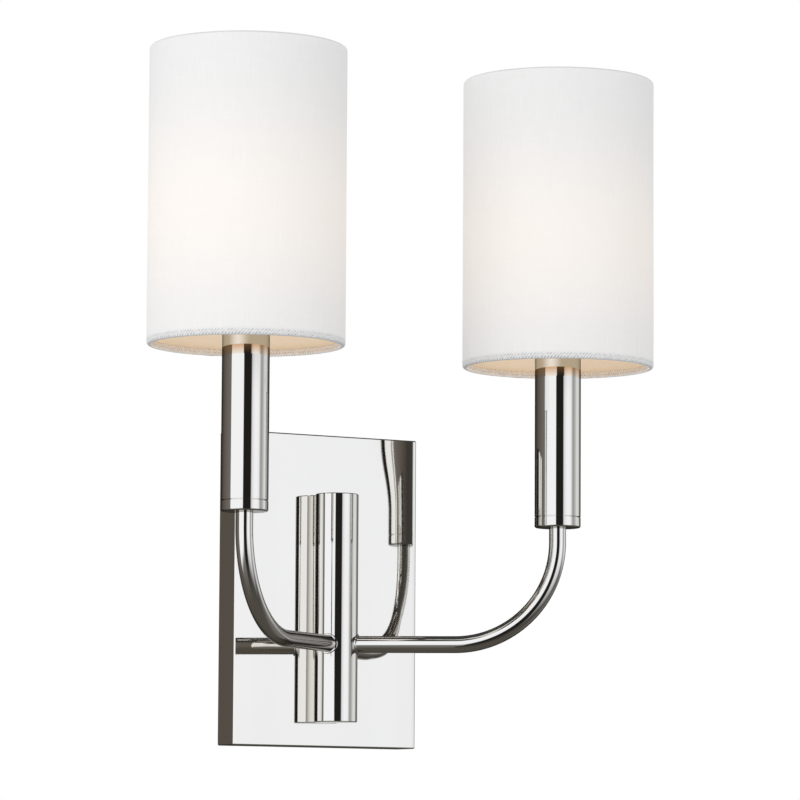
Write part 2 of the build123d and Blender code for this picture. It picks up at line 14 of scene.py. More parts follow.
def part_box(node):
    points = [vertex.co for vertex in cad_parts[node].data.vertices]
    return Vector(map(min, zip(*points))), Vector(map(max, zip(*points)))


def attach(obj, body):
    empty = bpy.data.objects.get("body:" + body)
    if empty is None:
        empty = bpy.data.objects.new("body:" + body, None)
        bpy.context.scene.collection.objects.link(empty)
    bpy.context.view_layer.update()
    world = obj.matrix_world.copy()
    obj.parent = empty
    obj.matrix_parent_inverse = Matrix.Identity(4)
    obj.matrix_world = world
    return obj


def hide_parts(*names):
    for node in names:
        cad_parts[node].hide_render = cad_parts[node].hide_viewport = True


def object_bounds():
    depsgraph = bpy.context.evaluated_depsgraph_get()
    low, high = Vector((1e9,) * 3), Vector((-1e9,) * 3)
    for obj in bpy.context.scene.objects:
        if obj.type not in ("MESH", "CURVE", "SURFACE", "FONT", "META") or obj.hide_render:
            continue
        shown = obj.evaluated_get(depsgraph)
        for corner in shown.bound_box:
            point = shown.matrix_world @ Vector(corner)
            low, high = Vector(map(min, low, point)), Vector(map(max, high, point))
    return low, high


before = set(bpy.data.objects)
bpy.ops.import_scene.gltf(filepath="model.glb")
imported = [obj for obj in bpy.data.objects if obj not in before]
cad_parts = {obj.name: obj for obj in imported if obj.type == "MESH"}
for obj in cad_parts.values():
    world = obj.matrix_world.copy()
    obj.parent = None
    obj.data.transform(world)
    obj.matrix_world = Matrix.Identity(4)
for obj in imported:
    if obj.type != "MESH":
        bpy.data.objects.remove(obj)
CAD_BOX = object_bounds()

log = logging.getLogger("wall_lamp")
MM = 0.001
# A number just above nothing, so that no division is by nothing.
HAIR = 1e-6
Range = tuple[float, float]
Triple = tuple[float, float, float]
Colour = Triple
Socket = bpy.types.NodeSocket

# Nearly all the values of a noise pattern lie in this range.
NOISE_RANGE = (0.3, 0.7)
# The Mix node has a set of sockets for each kind of value, so those for colours go by number.
MIX_FIRST, MIX_SECOND, MIX_RESULT = 6, 7, 2


class Side(Enum):
    """The two lamps, as seen from the front."""

    LEFT = "left"
    RIGHT = "right"

    def node(self, piece: str) -> str:
        """The full name of one of this side's nodes."""
        return f"{self.value}_{piece}"


class Graph:
    """The shader nodes of one material, with its Principled shader at hand."""

    def __init__(self, name: str) -> None:
        """Starts a material.

        Args:
            name: the material's name.
        """
        self.material = bpy.data.materials.new(name)
        self.material.use_nodes = True
        self.nodes = self.material.node_tree.nodes
        self.links = self.material.node_tree.links
        self.shader = self.nodes["Principled BSDF"]

    def add(self, kind: str, inputs: dict, **settings: object) -> bpy.types.Node:
        """Adds one node.

        Args:
            kind: the node's type, without its ShaderNode prefix.
            inputs: a value or an output socket for each named or numbered input.
            settings: the node's own properties.

        Returns:
            The new node.
        """
        node = self.nodes.new(f"ShaderNode{kind}")
        for key, value in settings.items():
            setattr(node, key, value)
        for key, value in inputs.items():
            if isinstance(value, Socket):
                self.links.new(value, node.inputs[key])
            else:
                node.inputs[key].default_value = value
        return node

    def set(self, **values: float | Colour) -> None:
        """Sets the shader's even values, with words joined by _ for a socket's name."""
        for key, value in values.items():
            socket = self.shader.inputs[key.replace("_", " ")]
            socket.default_value = (*value, 1.0) if isinstance(value, tuple) else value

    def feed(self, name: str, source: Socket) -> None:
        """Drives one of the shader's sockets by a pattern."""
        self.links.new(source, self.shader.inputs[name])

    def place(self) -> Socket:
        """The point on the piece, in metres of the shared frame."""
        return self.add("TexCoord", {}).outputs["Object"]

    def stretched(self, vector: Socket, scale: Triple) -> Socket:
        """A point scaled along each axis."""
        return self.add("VectorMath", {0: vector, 1: scale}, operation="MULTIPLY").outputs["Vector"]

    def axes(self, vector: Socket) -> tuple[Socket, Socket, Socket]:
        """The three parts of a vector."""
        outputs = self.add("SeparateXYZ", {0: vector}).outputs
        return outputs["X"], outputs["Y"], outputs["Z"]

    def noise(self, vector: Socket, scale: float, detail: float = 2.0) -> Socket:
        """A soft random pattern from 0 to 1, with its scale in waves per unit of the vector."""
        inputs = {"Vector": vector, "Scale": scale, "Detail": detail}
        return self.add("TexNoise", inputs).outputs["Fac"]

    def math(self, operation: str, first: Socket | float, second: Socket | float = 0.0) -> Socket:
        """One sum on two values."""
        return self.add("Math", {0: first, 1: second}, operation=operation).outputs[0]

    def away_from(self, value: Socket, middle: float) -> Socket:
        """How far a value is from a middle one, on either side."""
        return self.math("ABSOLUTE", self.math("SUBTRACT", value, middle))

    def waves(self, along: Socket, length: float) -> Socket:
        """A wave with half a turn in each length."""
        return self.math("SINE", self.math("MULTIPLY", along, math.pi / length))

    def remap(self, value: Socket, source: Range, target: Range) -> Socket:
        """A value moved smoothly from one range into another, and held there.

        Args:
            value: what is moved.
            source: the range that it comes in.
            target: the range that it goes to.

        Returns:
            The moved value.
        """
        inputs = {
            "Value": value,
            "From Min": source[0],
            "From Max": source[1],
            "To Min": target[0],
            "To Max": target[1],
        }
        return self.add("MapRange", inputs, interpolation_type="SMOOTHSTEP").outputs["Result"]

    def mix(self, share: Socket, first: Socket | Colour, second: Colour) -> Socket:
        """A colour between two, by a share from 0 to 1."""
        start = first if isinstance(first, Socket) else (*first, 1.0)
        inputs = {0: share, MIX_FIRST: start, MIX_SECOND: (*second, 1.0)}
        return self.add("Mix", inputs, data_type="RGBA").outputs[MIX_RESULT]

    def bump(self, height: Socket, depth: float) -> Socket:
        """A surface normal from a height pattern, with its depth in metres."""
        return self.add("Bump", {"Height": height, "Distance": depth, "Strength": 1.0}).outputs["Normal"]


@dataclass(frozen=True)
class Finish:
    """A surface finish, which makes its material once.

    Attributes:
        slot: the record's material slot that it dresses.
    """

    slot: str

    @functools.cache
    def material(self) -> bpy.types.Material:
        """The finish's material, made on first use."""
        graph = Graph(f"{self.slot}_finish")
        self.paint(graph)
        return graph.material

    def paint(self, graph: Graph) -> None:
        """Fills in the finish's nodes."""
        raise NotImplementedError


@dataclass(frozen=True)
class Metal(Finish):
    """Bare or plated metal with a drifting tone and a fine grain.

    Attributes:
        tone: the main colour.
        other_tone: the colour that it drifts to.
        roughness: the least and most roughness.
        drift_scale: drifts of tone in a metre.
        grain_scale: grains in a metre.
        grain_stretch: how much finer the grain is along X, Y and Z.
        grain_depth: the grain's height in metres.
        edge_tone: how much of a mirrored colour is left where the metal is seen edge-on.
    """

    tone: Colour
    other_tone: Colour
    roughness: Range
    drift_scale: float = 60.0
    grain_scale: float = 900.0
    grain_stretch: Triple = (1.0, 1.0, 1.0)
    grain_depth: float = 2e-6
    edge_tone: Colour = (1.0, 1.0, 1.0)

    def paint(self, graph: Graph) -> None:
        """Fills in the metal's nodes."""
        place = graph.place()
        drift = graph.noise(place, self.drift_scale, detail=3.0)
        grain = graph.noise(graph.stretched(place, self.grain_stretch), self.grain_scale)
        rubbed = graph.math("MULTIPLY", graph.math("ADD", drift, grain), 0.5)
        graph.set(Metallic=1.0, Specular_Tint=self.edge_tone)
        graph.feed("Base Color", graph.mix(drift, self.tone, self.other_tone))
        graph.feed("Roughness", graph.remap(rubbed, NOISE_RANGE, self.roughness))
        graph.feed("Normal", graph.bump(self.relief(graph, place, grain), depth=1.0))

    def relief(self, graph: Graph, place: Socket, grain: Socket) -> Socket:
        """The height of the surface in metres: its grain alone."""
        return graph.math("MULTIPLY", grain, self.grain_depth)


@dataclass(frozen=True)
class PressedMetal(Metal):
    """Sheet metal pressed into a pan, whose upright face rises a little and rolls off at its edges.

    Attributes:
        rise: how far the face rises sideways over its slope, in metres.
        slope: where the rise starts and ends, from the face's middle, in metres.
        roll_off: how far the face falls again at its upright edges, in metres.
        edge: where the roll-off starts and would end, from the face's middle, in metres.
        run_out: the heights near the top where the rise runs out and where it is full, in metres.
    """

    rise: float = 0.0
    slope: Range = (0.0, 1.0)
    roll_off: float = 0.0
    edge: Range = (0.0, 1.0)
    run_out: Range = (1.0, 0.0)

    def relief(self, graph: Graph, place: Socket, grain: Socket) -> Socket:
        """The height of the surface in metres: its grain, its rise and its roll-off."""
        sideways, _, upwards = graph.axes(place)
        from_middle = graph.math("ABSOLUTE", sideways)
        full = graph.remap(upwards, self.run_out, (0.0, self.rise))
        rise = graph.math("MULTIPLY", graph.remap(from_middle, self.slope, (0.0, 1.0)), full)
        fall = graph.remap(from_middle, self.edge, (0.0, self.roll_off))
        return graph.math("ADD", graph.math("SUBTRACT", rise, fall), super().relief(graph, place, grain))


@dataclass(frozen=True)
class Moulding(Finish):
    """Moulded plastic or paint: a fine orange peel and faint specks.

    Attributes:
        tone: the main colour.
        speck_tone: the colour of its specks.
        roughness: the least and most roughness.
        peel_scale: dimples in a metre.
        peel_depth: depth of the dimples in metres.
        specks_per_dimple: how much finer the specks are than the dimples.
        speck_range: the noise values between which a speck comes up.
    """

    tone: Colour
    speck_tone: Colour
    roughness: Range
    peel_scale: float = 700.0
    peel_depth: float = 1e-5
    specks_per_dimple: float = 4.0
    speck_range: Range = (0.62, 0.74)

    def paint(self, graph: Graph) -> None:
        """Fills in the moulding's nodes."""
        place = graph.place()
        peel = graph.noise(place, self.peel_scale, detail=3.0)
        finer = graph.noise(place, self.specks_per_dimple * self.peel_scale)
        specks = graph.remap(finer, self.speck_range, (0.0, 1.0))
        graph.feed("Base Color", graph.mix(specks, self.tone, self.speck_tone))
        graph.feed("Roughness", graph.remap(peel, NOISE_RANGE, self.roughness))
        graph.feed("Normal", graph.bump(peel, self.peel_depth))


@dataclass(frozen=True)
class Glowing(Finish):
    """Frosted glass, a filament or a lining that gives light, by its height; a lining's light is a painted
    glow.

    Attributes:
        tone: the surface's own colour.
        light: the light's colour.
        strength: the light far from the middle height and at it.
        middle: the middle height in metres.
        reach: how far above and below it the light changes, in metres.
        frost_scale: grains of the frosting in a metre.
        frost_depth: their height in metres.
        frost_roughness: the least and most roughness.
    """

    tone: Colour
    light: Colour
    strength: Range
    middle: float
    reach: float
    frost_scale: float = 2500.0
    frost_depth: float = 6e-6
    frost_roughness: Range = (0.32, 0.46)

    def paint(self, graph: Graph) -> None:
        """Fills in the glowing nodes."""
        place = graph.place()
        _, _, height = graph.axes(place)
        away = graph.away_from(height, self.middle)
        frost = graph.noise(place, self.frost_scale)
        graph.set(Base_Color=self.tone, Emission_Color=self.light)
        graph.feed("Roughness", graph.remap(frost, NOISE_RANGE, self.frost_roughness))
        graph.feed("Normal", graph.bump(frost, self.frost_depth))
        graph.feed("Emission Strength", graph.remap(away, (self.reach, 0.0), self.strength))


@dataclass(frozen=True)
class Trim:
    """The lower hem's bias trim, whose slanting threads part in creases, which the linen bumps and darkens
    with painted shade.

    Attributes:
        width: how far it goes up the wall, in metres.
        rib: spacing of its threads in metres.
        slant: how far they lean sideways for each metre along the cloth.
        patch_scale: patches of weak and strong creases in a metre.
        patch_range: the noise values of a weak and a strong patch.
        patch_strength: how strong the creases are in them.
        row_range: the heights in a row of threads between which its strength changes.
        row_strength: how strong the creases are at a row's edge and on its middle.
    """

    width: float = 3.2 * MM
    rib: float = 2.1 * MM
    slant: float = 0.9
    patch_scale: float = 520.0
    patch_range: Range = (0.38, 0.58)
    patch_strength: Range = (0.3, 1.0)
    row_range: Range = (0.2, 1.0)
    row_strength: Range = (1.0, 0.5)

    def cover(self, graph: Graph, along: Socket, hem: float) -> Socket:
        """How much of a place the trim covers, from 0 to 1.

        Args:
            graph: the linen's nodes.
            along: length along the cloth.
            hem: length of the hem, where the wall starts.

        Returns:
            The covered share.
        """
        return graph.remap(along, (hem + self.width, hem), (0.0, 1.0))

    def creases(self, graph: Graph, cloth: Socket, cover: Socket) -> Socket:
        """How deep in a crease a place is, from 0 to 1.

        Args:
            graph: the linen's nodes.
            cloth: the place on the cloth's map.
            cover: how much of it the trim covers.

        Returns:
            The depth as a share.
        """
        across, along, _ = graph.axes(cloth)
        slanted = graph.math("SUBTRACT", across, graph.math("MULTIPLY", along, self.slant))
        ribs = graph.waves(slanted, self.rib)
        rows = graph.math("ABSOLUTE", graph.waves(along, self.rib))
        patchy = graph.remap(graph.noise(cloth, self.patch_scale), self.patch_range, self.patch_strength)
        patchy = graph.math("MULTIPLY", patchy, graph.remap(rows, self.row_range, self.row_strength))
        strength = graph.math("MULTIPLY", cover, patchy)
        return graph.math("MULTIPLY", graph.math("MULTIPLY", ribs, ribs), strength)


@dataclass(frozen=True)
class Linen(Finish):
    """White linen in plain weave, with slubs, painted shade at its hems, and a painted warm glow that stands
    in for the bulb's light coming through it.

    The cloth's map gives metres round the drum and along its height.

    Attributes:
        tone: the thread's colour.
        hollow_tone: the colour between threads.
        thread: width of a thread in metres.
        slub_width: width of a slub in metres.
        slub_length: length of a slub in metres.
        light: colour of the painted glow that stands in for the light coming through.
        glow: the painted glow's strength, far from the bulb and beside it.
        middle: the height beside the bulb, along the cloth's map, in metres.
        reach: how far the light spreads above and below, in metres.
        hem_length: length at each end that is turned round the hoop, in metres.
        wall_length: length of the plain wall between the hems, in metres.
        fold: length along the cloth to the lowest line of the hem, in metres.
        trim: the lower hem's trim.
        thread_height: height of a thread in metres.
        slub_range: the noise values between which a slub comes up.
        level_slubs: how strong level slubs are beside upright ones.
        slub_height: height of a slub in threads.
        slub_light: the share of the painted glow that a slub lets through.
        crease_depth: depth of the trim's creases in threads.
        painted_shade_tone: the colour of the painted shade in the trim's creases, over the trim, along the
            fold and at the upper hem.
        crease_shade: the share of that painted shade in a crease.
        trim_shade: its share all over the trim's outside, a painted shade on the rolled hem.
        rim_width: height over which painted shade darkens the upper hem, in metres.
        rim_shade: the painted shade's share at the upper hem.
        fold_line: distances from the fold where its painted dark line of shade starts and is full, in metres.
        fold_shade: the painted shade's share in that line.
        inner_edge: distances past the fold where the hem's inside, with its painted warm light, starts and is
            full, in metres.
        hem_lit_tone: the lower hem's colour on its inside, warmer as painted light from the bulb.
        inner_glow: a painted glow that the lower hem's inside gives there.
    """

    tone: Colour
    hollow_tone: Colour
    thread: float
    slub_width: float
    slub_length: float
    light: Colour
    glow: Range
    middle: float
    reach: float
    hem_length: float
    wall_length: float
    fold: float
    trim: Trim = Trim()
    thread_height: float = 0.06 * MM
    slub_range: Range = (0.55, 0.75)
    level_slubs: float = 0.6
    slub_height: float = 1.2
    slub_light: float = 0.8
    crease_depth: float = 1.5
    painted_shade_tone: Colour = (0.42, 0.44, 0.46)
    crease_shade: float = 0.95
    trim_shade: float = 0.12
    rim_width: float = 0.9 * MM
    rim_shade: float = 0.45
    fold_line: Range = (1.3 * MM, 0.2 * MM)
    fold_shade: float = 0.65
    inner_edge: Range = (0.3 * MM, 1.5 * MM)
    hem_lit_tone: Colour = (0.9, 0.86, 0.82)
    inner_glow: float = 0.1

    def slubs(self, graph: Graph, cloth: Socket, width: float, length: float) -> Socket:
        """Long thin thick places in the yarn, from 0 to 1, with their size in metres."""
        drawn = graph.stretched(cloth, (1 / width, 1 / length, 1.0))
        return graph.remap(graph.noise(drawn, 1.0, detail=1.0), self.slub_range, (0.0, 1.0))

    def shade(self, graph: Graph, along: Socket, crease: Socket, outer: Socket) -> Socket:
        """The share of painted shade at a place.

        Args:
            graph: the linen's nodes.
            along: length along the cloth.
            crease: how deep in a crease the place is.
            outer: how much of it is the trim's outside.

        Returns:
            The share, for the trim, the fold and the upper hem together.
        """
        top = self.hem_length + self.wall_length
        rim = graph.remap(along, (top, top + self.rim_width), (0.0, self.rim_shade))
        line = graph.remap(graph.away_from(along, self.fold), self.fold_line, (0.0, self.fold_shade))
        hems = graph.math("ADD", rim, line)
        share = graph.math("ADD", graph.math("MULTIPLY", crease, self.crease_shade), hems)
        return graph.math("ADD", share, graph.math("MULTIPLY", outer, self.trim_shade))

    def paint(self, graph: Graph) -> None:
        """Fills in the linen's nodes."""
        cloth = graph.add("UVMap", {}, uv_map="cloth").outputs["UV"]
        across, along, _ = graph.axes(cloth)
        over = graph.math("MULTIPLY", graph.waves(across, self.thread), graph.waves(along, self.thread))
        weave = graph.math("ABSOLUTE", over)
        upright = self.slubs(graph, cloth, self.slub_width, self.slub_length)
        level = self.slubs(graph, cloth, self.slub_length, self.slub_width)
        slub = graph.math("MAXIMUM", upright, graph.math("MULTIPLY", level, self.level_slubs))
        cover = self.trim.cover(graph, along, self.hem_length)
        crease = self.trim.creases(graph, cloth, cover)
        lit_from, lit_fully = self.inner_edge
        inner = graph.remap(along, (self.fold - lit_from, self.fold - lit_fully), (0.0, 1.0))
        outer = graph.math("MULTIPLY", cover, graph.math("SUBTRACT", 1.0, inner))
        yarn = graph.math("MULTIPLY", graph.math("ADD", weave, slub), 0.5)
        plain = graph.mix(yarn, self.hollow_tone, self.tone)
        # Painted warm light: the lower hem's inside takes a warmer colour.
        hemmed = graph.mix(inner, plain, self.hem_lit_tone)
        # Painted shade: the trim's creases, the trim's outside, the fold and the upper rim are darkened.
        shade = self.shade(graph, along, crease, outer)
        graph.feed("Base Color", graph.mix(shade, hemmed, self.painted_shade_tone))
        relief = graph.math("ADD", weave, graph.math("MULTIPLY", slub, self.slub_height))
        relief = graph.math("SUBTRACT", relief, graph.math("MULTIPLY", crease, self.crease_depth))
        graph.feed("Normal", graph.bump(relief, self.thread_height))
        # Painted glow: emission by height stands in for the bulb's light through the cloth, and the hem's
        # inside gets a painted glow too.
        through = graph.remap(graph.away_from(along, self.middle), (self.reach, 0.0), self.glow)
        through = graph.math("MULTIPLY", through, graph.remap(slub, (0.0, 1.0), (1.0, self.slub_light)))
        painted_hem_glow = graph.math("MULTIPLY", inner, self.inner_glow)
        graph.feed("Emission Strength", graph.math("ADD", through, painted_hem_glow))
        graph.set(Emission_Color=self.light, Roughness=0.9, Specular_IOR_Level=0.2)
        graph.set(Sheen_Weight=0.12, Sheen_Roughness=0.5)


def grid_faces(rows: int, columns: int, close_rows: bool, close_columns: bool) -> list[tuple[int, ...]]:
    """The quads of a grid of points that is counted row by row.

    Args:
        rows: points one way.
        columns: points the other way.
        close_rows: whether the last row joins the first.
        close_columns: whether the last column joins the first.

    Returns:
        The point numbers of each quad.
    """
    faces = []
    for i in range(rows if close_rows else rows - 1):
        for j in range(columns if close_columns else columns - 1):
            here, below = i * columns, (i + 1) % rows * columns
            beside = (j + 1) % columns
            faces.append((here + j, here + beside, below + beside, below + j))
    return faces


def ring_point(centre: Vector, radius: float, angle: float, height: float) -> Vector:
    """A point round an upright axis.

    Args:
        centre: a point on the axis.
        radius: distance from it in metres.
        angle: radians from +X.
        height: the point's height in metres.

    Returns:
        The point.
    """
    return Vector((centre.x + radius * math.cos(angle), centre.y + radius * math.sin(angle), height))


def make_object(name: str, points: Sequence[Vector], faces: Sequence[tuple]) -> bpy.types.Object:
    """A smooth mesh object in the scene.

    Args:
        name: the object's name.
        points: its corners, in metres.
        faces: the point numbers of each face.

    Returns:
        The new object.
    """
    mesh = bpy.data.meshes.new(name)
    mesh.from_pydata(points, [], faces)
    mesh.shade_smooth()
    mesh.update()
    piece = bpy.data.objects.new(name, mesh)
    bpy.context.scene.collection.objects.link(piece)
    return piece


def wear(piece: bpy.types.Object, finish: Finish) -> None:
    """Gives every material slot of a piece one finish."""
    if not piece.material_slots:
        piece.data.materials.append(finish.material())
    for slot in piece.material_slots:
        slot.material = finish.material()
    log.info("%s wears %s", piece.name, finish.slot)


def dress(finishes: dict[str, Finish], side: Side | None = None) -> None:
    """Gives CAD nodes their finishes.

    Args:
        finishes: a finish for each node, by its name or its name without the side.
        side: the lamp that the nodes are on, if they are on one.
    """
    for name, finish in finishes.items():
        wear(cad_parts[side.node(name) if side else name], finish)


def centre_of(node: str) -> Vector:
    """The middle of a CAD node's box."""
    low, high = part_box(node)
    return (low + high) / 2


POLISH = {
    "slot": "polished_nickel", "tone": (0.915, 0.898, 0.868), "other_tone": (0.897, 0.876, 0.842),
    "roughness": (0.015, 0.045), "drift_scale": 9.0, "grain_scale": 260.0,
    "grain_stretch": (1.0, 1.0, 0.12), "grain_depth": 2e-7, "edge_tone": (0.35, 0.34, 0.33),
}
NICKEL = Metal(**POLISH)
ZINC = Metal(
    "zinc_steel", (0.62, 0.63, 0.64), (0.5, 0.51, 0.5), (0.28, 0.5), drift_scale=240.0, grain_scale=1800.0,
)
EARTH_GREEN = Metal("green_steel", (0.05, 0.28, 0.1), (0.09, 0.36, 0.14), (0.25, 0.45), drift_scale=300.0)
BRASS = Metal(
    "brass", (0.8, 0.6, 0.27), (0.7, 0.5, 0.22), (0.2, 0.4), drift_scale=120.0, grain_scale=1500.0,
)
CAP_NICKEL = Metal("nickel_cap", (0.74, 0.71, 0.66), (0.62, 0.59, 0.54), (0.18, 0.36), drift_scale=150.0)
BLACK = Moulding("black_moulding", (0.018, 0.017, 0.016), (0.05, 0.048, 0.045), (0.35, 0.55))
WIRE_WHITE = Moulding("white_wire", (0.84, 0.83, 0.8), (0.78, 0.77, 0.74), (0.3, 0.5))


@dataclass
class Thread:
    """A screw thread on a rod or a rolled cap, as a closed tube whose wall follows the thread.

    Attributes:
        name: the piece's name.
        start: the middle of its first end, in metres.
        axis: the direction that it runs in.
        length: its length in metres.
        radius: its outer radius in metres.
        bore: its bore's radius in metres, where the bore is plain.
        pitch: the thread's pitch in metres.
        depth: the thread's depth in metres.
        rolled: whether the bore follows the thread, as in rolled sheet.
        around: points round the thread.
        per_pitch: rows of points in one pitch.
    """

    name: str
    start: Vector
    axis: Vector
    length: float
    radius: float
    bore: float
    pitch: float
    depth: float
    rolled: bool = False
    around: int = 72
    per_pitch: int = 10

    def groove(self, along: float, turn: float) -> float:
        """How deep the groove is at a place, fading out at both ends.

        Args:
            along: distance from the start in metres.
            turn: turns round the axis.

        Returns:
            The depth in metres.
        """
        phase = (along / self.pitch - turn) % 1.0
        wave = 0.5 - 0.5 * math.cos(math.tau * phase) if self.rolled else abs(2 * phase - 1)
        fade = min(1.0, along / self.pitch, (self.length - along) / self.pitch)
        return self.depth * wave * max(0.0, fade)

    def build(self) -> bpy.types.Object:
        """The thread's mesh object."""
        turn_to = self.axis.to_track_quat("Z", "Y").to_matrix()
        rows = max(2, round(self.length / self.pitch * self.per_pitch))
        outer = [self.length * i / rows for i in range(rows + 1)]
        points = []
        for along, inside in [*((row, False) for row in outer), *((row, True) for row in reversed(outer))]:
            for j in range(self.around):
                turn = j / self.around
                groove = self.groove(along, turn) if self.rolled or not inside else 0.0
                reach = (self.bore if inside else self.radius) - groove
                points.append(self.start + turn_to @ ring_point(Vector(), reach, math.tau * turn, along))
        return make_object(self.name, points, grid_faces(2 * len(outer), self.around, True, True))


@dataclass
class WallFixture:
    """The backplate, the column and what fastens them to the wall and to each other.

    Attributes:
        nipple_pitch: pitch of the hollow nipple's thread in metres.
        stud_pitch: pitch of the stud's thread in metres.
        thread_share: a thread's depth as a share of its pitch.
        nipple_bore: radius of the nipple's wire way in metres.
        solid_bore: radius of the hair that is left open in a solid rod, in metres.
    """

    nipple_pitch: float = 1.0 * MM
    stud_pitch: float = 0.8 * MM
    thread_share: float = 0.55
    nipple_bore: float = 3.6 * MM
    solid_bore: float = 0.05 * MM

    def threaded_rod(self, node: str, pitch: float, bore: float) -> None:
        """Makes one threaded rod in place of its plain node.

        Args:
            node: the CAD node, which runs along Y.
            pitch: the thread's pitch in metres.
            bore: the bore's radius in metres.
        """
        low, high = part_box(node)
        middle = (low + high) / 2
        start = Vector((middle.x, low.y, middle.z))
        radius = (high.z - low.z) / 2
        rod = Thread(
            f"{node}_threaded", start, Vector((0, 1, 0)), high.y - low.y, radius, bore, pitch,
            self.thread_share * pitch,
        ).build()
        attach(rod, "fixture")
        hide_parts(node)
        wear(rod, ZINC)

    def build(self) -> None:
        """Dresses the nodes and makes the threads."""
        _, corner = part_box("backplate")
        pressed = PressedMetal(
            **POLISH, rise=0.37 * MM, slope=(34 * MM, 57 * MM), roll_off=0.4 * MM,
            edge=(corner.x - 3.5 * MM, corner.x + 4.5 * MM), run_out=(corner.z, corner.z - 48 * MM),
        )
        dress({"backplate": pressed, "column": NICKEL, "column_top_cap": NICKEL, "column_bottom_cap": NICKEL})
        steel = (
            "mounting_bracket", "plate_screws", "plate_screw_nuts",
            "nipple_washer", "stud_washer", "stud_nut",
        )
        dress({name: ZINC for name in steel})
        dress({"nipple_nut": BRASS, "ground_screw": EARTH_GREEN})
        self.threaded_rod("column_nipple", self.nipple_pitch, self.nipple_bore)
        self.threaded_rod("column_stud", self.stud_pitch, self.solid_bore)


@dataclass
class LampStem:
    """One arm with its cup, sleeve and lampholder.

    Attributes:
        side: which lamp it is.
    """

    side: Side

    def build(self) -> None:
        """Dresses the stem's nodes."""
        brass = ("cup_nut", "lampholder_rivet", "centre_contact", "screw_shell")
        dress({name: NICKEL for name in ("arm", "arm_collar", "cup", "sleeve")}, self.side)
        dress({name: BRASS for name in brass}, self.side)
        dress({"lampholder_bracket": ZINC, "lampholder_body": BLACK, "shade_ring": BLACK}, self.side)


@dataclass
class Bulb:
    """One lit bulb in its screw cap.

    Attributes:
        side: which lamp it is in.
        pitch: pitch of the cap's thread in metres.
        thread_depth: depth of the rolled thread in metres.
        cap_wall: thickness of the cap's sheet in metres.
        light: colour of its light.
        strength: its light at the neck and at the belly.
        filament_strength: the light of its filament there.
        reach_share: how far from the belly the light fades, as a share of the glass's height.
    """

    side: Side
    pitch: float = 2.54 * MM
    thread_depth: float = 0.55 * MM
    cap_wall: float = 0.3 * MM
    light: Colour = (1.0, 0.8, 0.58)
    strength: Range = (0.6, 1.1)
    filament_strength: Range = (6.0, 9.0)
    reach_share: float = 0.55

    def build(self) -> None:
        """Makes the cap's thread and dresses the bulb."""
        low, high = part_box(self.side.node("bulb_cap"))
        middle = (low + high) / 2
        radius = (high.x - low.x) / 2
        cap = Thread(
            self.side.node("bulb_cap_threaded"), Vector((middle.x, middle.y, low.z)), Vector((0, 0, 1)),
            high.z - low.z, radius, radius - self.cap_wall, self.pitch, self.thread_depth, rolled=True,
        ).build()
        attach(cap, self.side.node("bulb"))
        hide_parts(self.side.node("bulb_cap"))
        wear(cap, CAP_NICKEL)
        glass_low, glass_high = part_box(self.side.node("bulb_glass"))
        tall = glass_high.z - glass_low.z
        spread = {"middle": glass_low.z + 0.5 * tall, "reach": self.reach_share * tall}
        glass = Glowing("frosted_glass", (0.9, 0.88, 0.84), self.light, self.strength, **spread)
        filament = Glowing("warm_filament", (0.9, 0.8, 0.6), self.light, self.filament_strength, **spread)
        dress({"bulb_glass": glass, "bulb_filament": filament}, self.side)
        dress({"bulb_tip": BRASS, "bulb_insulator": BLACK}, self.side)


# A point (radius, height) in the middle of a shade's cloth, and the way out of the cloth there.
Step = tuple[Vector, Vector]


